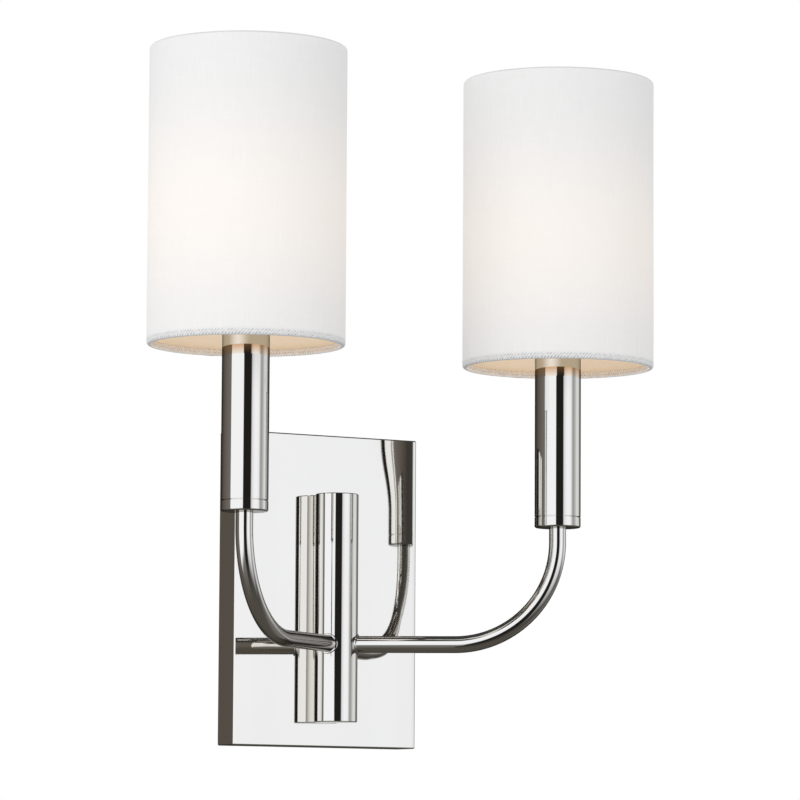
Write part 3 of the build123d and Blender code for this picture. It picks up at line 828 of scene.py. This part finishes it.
@dataclass
class LinenShade:
    """One drum shade: linen rolled round a hoop at each end, over a lining.

    Attributes:
        side: which lamp it is on.
        cloth: thickness of the linen in metres.
        hem_gap: room round the hoop inside its hem, in metres.
        hem_turn: height of cloth turned in, in metres.
        lap_width: width of the overlap at the shade's seam in metres.
        lap_height: how far the overlap stands out in metres.
        lap_angle: where the seam is, in degrees from +X, on the wall's side.
        lap_rise: width over which the overlap's edge rises, in metres.
        lap_fall: width over which it falls again, in metres.
        ripple: how uneven the drum is in metres.
        ripple_waves: how many waves of two kinds go round it.
        ripple_lean: how far the first kind turns with the height, in radians in a metre.
        ripple_shift: where the second kind starts, in radians.
        around: points round the drum.
        wall_rows: rows of points up the wall.
        hem_rows: rows of points round a hem.
        flap_rows: rows of points on the turned-in cloth.
    """

    side: Side
    cloth: float = 0.6 * MM
    hem_gap: float = 0.35 * MM
    hem_turn: float = 4.0 * MM
    lap_width: float = 9.0 * MM
    lap_height: float = 0.45 * MM
    lap_angle: float = 80.0
    lap_rise: float = 0.6 * MM
    lap_fall: float = 4.0 * MM
    ripple: float = 0.12 * MM
    ripple_waves: tuple[int, int] = (5, 3)
    ripple_lean: float = 40.0
    ripple_shift: float = 1.3
    around: int = 288
    wall_rows: int = 40
    hem_rows: int = 14
    flap_rows: int = 4

    def __post_init__(self) -> None:
        """Takes the drum's place and radii from the frame."""
        self.low, self.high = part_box(self.side.node("shade_fabric"))
        hoop_low, hoop_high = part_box(self.side.node("shade_top_hoop"))
        self.centre = (self.low + self.high) / 2
        self.radius = (self.high.x - self.low.x) / 2
        wire = (hoop_high.z - hoop_low.z) / 2
        self.roll = wire + self.hem_gap + self.cloth / 2
        inset = self.roll + self.cloth / 2
        self.hoop = self.radius - inset
        self.hoop_heights = (self.low.z + inset, self.high.z - inset)

    def straight(self, radius: float, start: float, end: float, rows: int, out: float) -> list[Step]:
        """The steps along an upright stretch of the cloth, without the one at its end.

        Args:
            radius: its radius in metres.
            start: the height that it starts at, in metres.
            end: the height that it ends at, in metres.
            rows: how many steps it has.
            out: 1 where the cloth's face looks outwards, -1 where it looks inwards.

        Returns:
            The steps.
        """
        heights = [start + (end - start) * i / rows for i in range(rows)]
        return [(Vector((radius, height)), Vector((out, 0))) for height in heights]

    def rolled(self, height: float, start: float) -> list[Step]:
        """The steps of half a turn round a hoop, without the one at its end.

        Args:
            height: the hoop's height in metres.
            start: the angle that the turn starts at, in radians.

        Returns:
            The steps.
        """
        angles = [start + math.pi * i / self.hem_rows for i in range(self.hem_rows)]
        outs = [Vector((math.cos(angle), math.sin(angle))) for angle in angles]
        return [(Vector((self.hoop, height)) + self.roll * out, out) for out in outs]

    def section(self) -> list[Step]:
        """The middle of the cloth from the lower turned-in edge to the upper one."""
        lower, upper = self.hoop_heights
        inner = self.hoop - self.roll
        bottom, top = self.low.z + self.hem_turn, self.high.z - self.hem_turn
        return [
            *self.straight(inner, bottom, lower, self.flap_rows, -1),
            *self.rolled(lower, math.pi),
            *self.straight(self.hoop + self.roll, lower, upper, self.wall_rows, 1),
            *self.rolled(upper, 0.0),
            *self.straight(inner, upper, top, self.flap_rows, -1),
            (Vector((inner, top)), Vector((-1, 0))),
        ]

    def lap(self, turn: float) -> float:
        """How far the seam's overlap lifts the cloth at a place round the drum.

        Args:
            turn: turns round the drum from +X.

        Returns:
            The lift in metres.
        """
        arc = ((turn - self.lap_angle / 360 + 0.5) % 1.0 - 0.5) * math.tau * self.radius
        rise = min(1.0, max(0.0, arc / self.lap_rise))
        fall = min(1.0, max(0.0, (self.lap_width - arc) / self.lap_fall))
        return self.lap_height * rise * fall

    def unevenness(self, angle: float, height: float) -> float:
        """How far the drum stands out at an angle in radians and a height, in metres."""
        first, second = self.ripple_waves
        wave = math.sin(first * angle + self.ripple_lean * height)
        return self.ripple * wave * math.sin(second * angle + self.ripple_shift)

    def finish(self, bulb: float) -> Linen:
        """The linen's finish, with its painted hem shade and its painted glow at this shade's heights.

        Args:
            bulb: the height of the bulb's middle in metres.

        Returns:
            The finish.
        """
        lower, upper = self.hoop_heights
        hem = self.hem_turn - self.roll + math.pi * self.roll
        # The light and glow are a painted warm glow that stands in for the bulb's light through the linen.
        return Linen(
            "white_linen", tone=(0.9, 0.9, 0.9), hollow_tone=(0.83, 0.83, 0.83), thread=0.45 * MM,
            slub_width=0.8 * MM, slub_length=26 * MM, light=(1.0, 0.6, 0.26), glow=(0.0, 0.115),
            middle=hem + bulb - lower, reach=95 * MM, hem_length=hem, wall_length=upper - lower,
            fold=hem - math.pi * self.roll / 2,
        )

    def build(self) -> None:
        section = self.section()
        lengths = [0.0]
        for (before, _), (after, _) in zip(section, section[1:]):
            lengths.append(lengths[-1] + (after - before).length)
        loop = [(*step, length, 0.5) for step, length in zip(section, lengths)]
        loop += [(*step, length, -0.5) for step, length in zip(reversed(section), reversed(lengths))]
        points = []
        for middle, out, _, face in loop:
            for j in range(self.around):
                turn = j / self.around
                angle = math.tau * turn
                lift = face * self.cloth + out.x * (self.unevenness(angle, middle.y) + self.lap(turn))
                reach = middle.x + out.x * lift
                points.append(ring_point(self.centre, reach, angle, middle.y + out.y * lift))
        faces = grid_faces(len(loop), self.around, True, True)
        linen = make_object(self.side.node("shade_linen"), points, faces)
        self.map_cloth(linen, [length for _, _, length, _ in loop])
        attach(linen, self.side.node("shade"))
        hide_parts(self.side.node("shade_fabric"))
        hoops = [self.side.node(name) for name in ("shade_top_hoop", "shade_bottom_hoop", "shade_liner")]
        bulb = centre_of(self.side.node("bulb_glass")).z
        wear(linen, self.finish(bulb))
        wires = ("shade_spider", "shade_top_hoop", "shade_bottom_hoop")
        dress({name: WIRE_WHITE for name in wires}, self.side)
        # The lining's peach look is painted light: its glow stands in for the bulb lighting the shade's
        # inside, and its warm tone adds to it.
        lining = Glowing("shade_lining", (0.9, 0.83, 0.73), (1.0, 0.74, 0.49), (0.16, 0.1), bulb, 90 * MM)
        dress({"shade_liner": lining}, self.side)

    def map_cloth(self, linen: bpy.types.Object, along: list[float]) -> None:
        """Writes the cloth's map, in metres round the drum and along the cut.

        Args:
            linen: the cloth's object.
            along: the length along the cut of each row of points.
        """
        layer = linen.data.uv_layers.new(name="cloth")
        girth = math.tau * self.radius
        for face in linen.data.polygons:
            last_column = face.index % self.around == self.around - 1
            for loop in face.loop_indices:
                row, column = divmod(linen.data.loops[loop].vertex_index, self.around)
                turn = 1.0 if last_column and column == 0 else column / self.around
                layer.data[loop].uv = (turn * girth, along[row])


@dataclass(frozen=True)
class Panel:
    """An upright line of the studio's tent, which only mirrors see.

    Attributes:
        angle: where it stands, in degrees from the camera's line, to the camera's right.
        tone: its colour at eye level.
        ground: the ground's colour in front of it.
        top: the height where it ends and the dark ceiling starts, in degrees.
        foot: the height where it starts to fade into the ground, in degrees.
        fade: how many degrees it takes to fade into the ground.
    """

    angle: float
    tone: Colour
    ground: Colour
    top: float = 40.0
    foot: float = -10.0
    fade: float = 14.0

    def towards(self, other: "Panel", angle: float) -> "Panel":
        """The line of the tent at an angle between this panel and the next."""
        share = (angle - self.angle) / (other.angle - self.angle)
        tone = blend_tones(self.tone, other.tone, share)
        ground = blend_tones(self.ground, other.ground, share)
        pairs = ((self.top, other.top), (self.foot, other.foot), (self.fade, other.fade))
        return Panel(angle, tone, ground, *(first + (second - first) * share for first, second in pairs))


def panel_lines(panels: Sequence[Panel]) -> list[Panel]:
    """The lines of a tent, about one in each degree.

    Args:
        panels: its panels in order, from one turn's start to its end.

    Returns:
        The lines in the same order.
    """
    lines = []
    for start, end in zip(panels, panels[1:]):
        width = end.angle - start.angle
        steps = max(1, round(width))
        lines += [start.towards(end, start.angle + width * i / steps) for i in range(steps)]
    return lines


def blend_tones(first: Colour, second: Colour, share: float) -> Colour:
    """A colour between two."""
    return tuple(a + (b - a) * share for a, b in zip(first, second))


def ease(share: float) -> float:
    """A share held between 0 and 1, with a soft start and end."""
    share = min(1.0, max(0.0, share))
    return share * share * (3 - 2 * share)


def grey(level: float, warmth: float = 0.0) -> Colour:
    """A grey of one level, warmer by a share."""
    return (level * (1 + warmth), level, level * (1 - warmth))


@dataclass
class Studio:
    """The camera, the floor, the light and the cards that the metal mirrors.

    Attributes:
        camera_place: the camera's place in metres.
        yaw: the camera's turn from straight at the wall, in degrees.
        pitch: how far it looks up, in degrees.
        roll: its tilt in degrees.
        lens: its focal length in millimetres.
        sensor: its sensor's width in millimetres.
        sight: how far it sees, in metres.
        floor_height: height of the floor in metres.
        floor_half: half the floor's side in metres.
        fill: level of the light from all round.
        tent_radius: distance of the tent from the lamp in metres.
        tent_low: height of the tent's floor in metres.
        tent_step: degrees between two rows of the tent's points.
        ceiling: the tent's colour overhead.
        ceiling_fade: degrees over which a panel gives way to the ceiling.
        nadir: the tent's colour straight below.
        nadir_top: the height where the ground starts to fade into that colour, in degrees.
        nadir_fade: degrees over which it does.
    """

    camera_place: Vector = Vector((-1.472266, -2.573777, -0.183005))
    yaw: float = -30.891
    pitch: float = 5.969
    roll: float = 0.33
    lens: float = 203.857
    sensor: float = 36.0
    sight: float = 100.0
    floor_height: float = -0.66
    floor_half: float = 6.0
    fill: float = 0.895
    tent_radius: float = 2.4
    tent_low: float = -0.62
    tent_step: int = 2
    ceiling: Colour = (0.05, 0.049, 0.047)
    ceiling_fade: float = 5.0
    nadir: Colour = (0.08, 0.073, 0.062)
    nadir_top: float = -25.0
    nadir_fade: float = 45.0

    def camera(self) -> None:
        """Places the camera as the photograph was taken."""
        data = bpy.data.cameras.new("camera")
        data.lens = self.lens
        data.sensor_width = self.sensor
        data.clip_end = self.sight
        camera = bpy.data.objects.new("camera", data)
        turn = Matrix.Rotation(math.radians(self.yaw), 4, "Z")
        tip = Matrix.Rotation(math.radians(90 + self.pitch), 4, "X")
        lean = Matrix.Rotation(math.radians(self.roll), 4, "Z")
        camera.matrix_world = Matrix.Translation(self.camera_place) @ turn @ tip @ lean
        bpy.context.scene.collection.objects.link(camera)
        bpy.context.scene.camera = camera

    def world(self) -> None:
        """A white background for the camera, mirrors and glass, and a plain fill light for the rest."""
        world = bpy.data.worlds.new("studio")
        world.use_nodes = True
        nodes, links = world.node_tree.nodes, world.node_tree.links
        path = nodes.new("ShaderNodeLightPath").outputs
        seen = path["Is Camera Ray"]
        for name in ("Is Glossy Ray", "Is Transmission Ray"):
            either = nodes.new("ShaderNodeMath")
            either.operation = "MAXIMUM"
            links.new(seen, either.inputs[0])
            links.new(path[name], either.inputs[1])
            seen = either.outputs[0]
        level = nodes.new("ShaderNodeMapRange")
        links.new(seen, level.inputs["Value"])
        level.inputs["To Min"].default_value = self.fill
        background = nodes["Background"]
        background.inputs["Color"].default_value = (1.0, 1.0, 1.0, 1.0)
        links.new(level.outputs["Result"], background.inputs["Strength"])
        bpy.context.scene.world = world

    def floor(self) -> None:
        """A plain pale floor below the lamp."""
        half = self.floor_half
        places = ((-half, -half), (half, -half), (half, half), (-half, half))
        corners = [Vector((x, y, self.floor_height)) for x, y in places]
        floor = make_object("floor", corners, [(0, 1, 2, 3)])
        wear(floor, Moulding("floor", grey(0.93), grey(0.91), (0.8, 0.95), peel_scale=200.0))

    def lamp(self, name: str, angle: float, height: float, away: float, size: float, power: float) -> None:
        """One large soft lamp, aimed at the object and hidden from mirrors.

        Args:
            name: the lamp's name.
            angle: degrees from the camera's line, to the camera's right.
            height: degrees above the level.
            away: distance in metres.
            size: side of its square in metres.
            power: its power in watts.
        """
        data = bpy.data.lights.new(name, "AREA")
        data.size = size
        data.energy = power
        lamp = bpy.data.objects.new(name, data)
        lamp.visible_glossy = False
        out = self.way_to(angle, height)
        lamp.location = self.middle() + out * away
        lamp.rotation_euler = out.to_track_quat("Z", "Y").to_euler()
        bpy.context.scene.collection.objects.link(lamp)

    def middle(self) -> Vector:
        """The middle of the object."""
        return (CAD_BOX[0] + CAD_BOX[1]) / 2

    def way_to(self, angle: float, height: float) -> Vector:
        """The direction at an angle from the camera's line and a height above the level, both in degrees."""
        bearing = math.radians(self.yaw - 90 + angle)
        level = math.cos(math.radians(height))
        return Vector((math.cos(bearing) * level, math.sin(bearing) * level, math.sin(math.radians(height))))

    def tent_tone(self, panel: Panel, height: float) -> Colour:
        """The tent's colour on one panel at a height in degrees."""
        tone = blend_tones(panel.tone, self.ceiling, ease((height - panel.top) / self.ceiling_fade))
        ground = blend_tones(panel.ground, self.nadir, ease((self.nadir_top - height) / self.nadir_fade))
        return blend_tones(tone, ground, ease((panel.foot - height) / panel.fade))

    def card(
        self, name: str, points: Sequence[Vector], faces: Sequence[tuple], tones: Sequence[Colour],
    ) -> None:
        """Makes a glowing card that only mirrors see.

        Args:
            name: the card's name.
            points: its points in metres.
            faces: the point numbers of each face.
            tones: its colour at each point.
        """
        card = make_object(name, points, faces)
        layer = card.data.color_attributes.new("tone", "FLOAT_COLOR", "POINT")
        for spot, tone in zip(layer.data, tones):
            spot.color = (*tone, 1.0)
        graph = Graph(name)
        tone = graph.add("VertexColor", {}, layer_name="tone").outputs["Color"]
        shine = graph.add("Emission", {"Color": tone}).outputs["Emission"]
        graph.links.new(shine, graph.nodes["Material Output"].inputs["Surface"])
        graph.material.cycles.emission_sampling = "NONE"
        card.data.materials.append(graph.material)
        for kind in ("camera", "diffuse", "transmission", "shadow", "volume_scatter"):
            setattr(card, f"visible_{kind}", False)

    def tent(self, panels: Sequence[Panel]) -> None:
        """Makes the tent of light and dark panels round the lamp.

        Args:
            panels: its panels in order, from one turn's start to its end.
        """
        middle = self.middle()
        lines = panel_lines(panels)
        heights = range(-90, 91, self.tent_step)
        points, tones = [], []
        for line in lines:
            for height in heights:
                out = self.way_to(line.angle, height)
                to_floor = (self.tent_low - middle.z) / min(out.z, -HAIR)
                points.append(middle + out * min(self.tent_radius, to_floor))
                tones.append(self.tent_tone(line, height))
        self.card("tent", points, grid_faces(len(lines), len(heights), True, False), tones)

    def panels(self) -> tuple[Panel, ...]:
        """The tent's panels in order, one turn from the camera's left round by its right."""
        white, black, brown = grey(0.99, -0.03), grey(0.014, 0.1), grey(0.155, 0.05)
        near, shade, side, deep = grey(0.17, 0.05), grey(0.03, 0.1), grey(0.065, 0.06), grey(0.02, 0.1)
        umber = grey(0.09, 0.1)
        return (
            # A white card in front, and a black strip to the right of the camera.
            Panel(-69.0, brown, umber, foot=-27.0),
            Panel(-67.0, white, near, foot=-27.0),
            Panel(-20.0, white, near, foot=-16.0),
            Panel(-9.0, white, near, foot=-3.0),
            Panel(-6.5, black, shade, foot=-25.0),
            Panel(28.0, black, shade, foot=-25.0),
            # A low bright card to the right, which fades slowly into the ground.
            Panel(30.5, grey(0.55, -0.02), side, 6.0, -2.0, 42.0),
            Panel(36.0, grey(0.83, -0.03), side, 6.0, -2.0, 42.0),
            Panel(48.0, grey(0.97, -0.03), side, 6.0, -2.0, 42.0),
            Panel(58.0, grey(0.985, -0.03), side, 6.0, 0.0, 42.0),
            Panel(66.0, grey(0.94, -0.03), side, 6.0, -2.5, 42.0),
            Panel(71.0, grey(0.88, -0.03), side, 7.0, -2.5, 42.0),
            Panel(76.0, grey(0.55, -0.02), side, 9.0, -3.0, 36.0),
            Panel(82.0, grey(0.34, -0.02), side, 9.0, -3.0, 30.0),
            Panel(92.0, grey(0.42, -0.02), grey(0.1, 0.05), 9.0, -3.0),
            Panel(108.0, grey(0.78, -0.02), near, 9.0, -3.0),
            Panel(128.0, grey(0.84, -0.02), near, 9.0, -3.0),
            # A dark room behind the lamp and to the left.
            Panel(132.0, grey(0.4), shade),
            Panel(150.0, grey(0.07, 0.1), deep),
            Panel(210.0, grey(0.045, 0.05), deep),
            Panel(242.0, grey(0.096, 0.17), grey(0.08, 0.15)),
            Panel(288.0, grey(0.155, 0.08), umber, foot=-22.0),
            Panel(291.0, brown, umber, foot=-22.0),
        )

    def build(self) -> None:
        """Sets up the whole studio."""
        bpy.context.scene.view_settings.view_transform = "Standard"
        self.camera()
        self.world()
        self.floor()
        self.lamp("key_light", angle=-30.0, height=20.0, away=2.6, size=1.8, power=13.0)
        panels = self.panels()
        self.tent(panels)
        MouthCards(self).build(panels)


@dataclass
class MouthCards:
    """Small cards in and between the shades' mouths, which only mirrors see, as painted reflections.

    Attributes:
        studio: the studio that they stand in.
        divider_place: a divider's distance from the middle of the object in metres.
        divider_edges: its lower and upper edge, from the shades' foot, in metres.
        mute_tone: the mute's colour.
        mute_height: its height above the shade's foot in metres.
        mute_room: its distance from the sleeve and from the shade's outside, in metres.
        mute_points: points round it.
        band_room: the band's distance from the shade's outside in metres.
        band_rows: heights of the band's four rows from the shade's foot, in metres.
        tint: the share of each of the tent's colours that the first row keeps.
        warm_tint: the share that the second row keeps.
        warm_glow: the painted warm light that is added to it there.
        cream: the upper rows' colour, a painted reflection of the shade's inside, far from their gleam and in
            it.
        gleam: the painted gleam's angle from the camera's line and its reach, in degrees.
    """

    studio: Studio
    divider_place: float = 1.0 * MM
    divider_edges: Range = (-18 * MM, 16 * MM)
    mute_tone: Colour = grey(0.03, 0.1)
    mute_height: float = 15 * MM
    mute_room: Range = (1.0 * MM, 2.0 * MM)
    mute_points: int = 48
    band_room: float = 4.5 * MM
    band_rows: tuple[float, ...] = (-1.3 * MM, 4.5 * MM, 4.9 * MM, 14.8 * MM)
    tint: Colour = (0.97, 0.87, 0.77)
    warm_tint: Colour = (0.62, 0.38, 0.22)
    warm_glow: Colour = (0.09, 0.05, 0.02)
    cream: tuple[Colour, Colour] = ((0.49, 0.4, 0.28), (0.88, 0.8, 0.71))
    gleam: Range = (-36.0, 60.0)

    def mouth(self, side: Side) -> tuple[Vector, float, float]:
        """The middle of a shade's foot, the shade's radius and its sleeve's radius, in metres."""
        low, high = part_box(side.node("shade_fabric"))
        near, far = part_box(side.node("sleeve"))
        foot = Vector(((low.x + high.x) / 2, (low.y + high.y) / 2, low.z))
        return foot, (high.x - low.x) / 2, (far.x - near.x) / 2

    def divider(self, name: str, sideways: float, stripes: Sequence[tuple[float, Colour]]) -> None:
        """Makes a striped card between the lamps, a painted reflection, so that one sleeve doesn't mirror the
        other shade's mouth.

        Args:
            name: the card's name.
            sideways: its place from the middle in metres.
            stripes: its colours from front to back, each with a place from the sleeves' line in millimetres.
        """
        foot, _, _ = self.mouth(Side.LEFT)
        points, tones = [], []
        for place, tone in stripes:
            for edge in self.divider_edges:
                points.append(Vector((sideways, foot.y + place * MM, foot.z + edge)))
                tones.append(tone)
        rows = len(self.divider_edges)
        self.studio.card(name, points, grid_faces(len(stripes), rows, False, False), tones)

    def mute(self, side: Side) -> None:
        """Makes a dark ring inside a shade, a painted dark reflection, so that the arms below don't mirror
        its lit upper part.

        Args:
            side: which shade.
        """
        foot, drum, stem = self.mouth(side)
        radii = (stem + self.mute_room[0], drum - self.mute_room[1])
        height = foot.z + self.mute_height
        turns = [math.tau * i / self.mute_points for i in range(self.mute_points)]
        points = [ring_point(foot, radius, turn, height) for turn in turns for radius in radii]
        faces = grid_faces(len(turns), len(radii), True, False)
        self.studio.card(side.node("mute"), points, faces, [self.mute_tone] * len(points))

    def band(self, side: Side, panels: Sequence[Panel]) -> None:
        """Makes a low band inside a shade's mouth, a painted reflection for the sleeve: the tent's stripes in
        painted warm light, then cream with a painted gleam.

        Args:
            side: which shade.
            panels: the tent's panels.
        """
        foot, drum, stem = self.mouth(side)
        reach = drum - self.band_room
        gleam_angle, gleam_reach = self.gleam
        lines = panel_lines(panels)
        points, tones = [], []
        for line in lines:
            angle = (line.angle + 180) % 360 - 180
            lean = math.degrees(math.asin(stem / reach * math.sin(math.radians(angle / 2))))
            out = self.studio.way_to(angle - lean, 0.0) * reach
            cream = blend_tones(*self.cream, ease(1 - abs(angle - gleam_angle) / gleam_reach))
            tinted = tuple(level * kept for level, kept in zip(line.tone, self.tint))
            kept_warm = zip(line.tone, self.warm_tint, self.warm_glow)
            warm = tuple(level * kept + glow for level, kept, glow in kept_warm)
            for height, tone in zip(self.band_rows, (tinted, warm, cream, cream)):
                points.append(foot + out + Vector((0, 0, height)))
                tones.append(tone)
        faces = grid_faces(len(lines), len(self.band_rows), True, False)
        self.studio.card(side.node("band"), points, faces, tones)

    def build(self, panels: Sequence[Panel]) -> None:
        """Makes all the cards.

        Args:
            panels: the tent's panels.
        """
        for side in Side:
            self.mute(side)
            self.band(side, panels)
        pale, line, brown = grey(0.92, -0.03), grey(0.45), grey(0.155, 0.05)
        self.divider("right_divider", self.divider_place, (
            (-34.0, pale), (-8.0, pale), (-7.0, line), (-5.5, pale), (4.0, pale), (5.0, line),
            (6.5, line), (7.5, pale), (13.0, pale), (15.5, brown), (36.0, brown),
        ))
        light, dim = grey(0.72, -0.02), grey(0.4)
        self.divider("left_divider", -self.divider_place, (
            (-34.0, light), (0.0, light), (8.0, dim), (18.0, grey(0.25)), (36.0, grey(0.06)),
        ))


def main() -> None:
    """Builds the studio and the lamp, in order."""
    logging.basicConfig(level=logging.INFO, format="%(name)s: %(message)s")
    Studio().build()
    WallFixture().build()
    for side in Side:
        LampStem(side).build()
        Bulb(side).build()
        LinenShade(side).build()


if __name__ == "__main__":
    main()
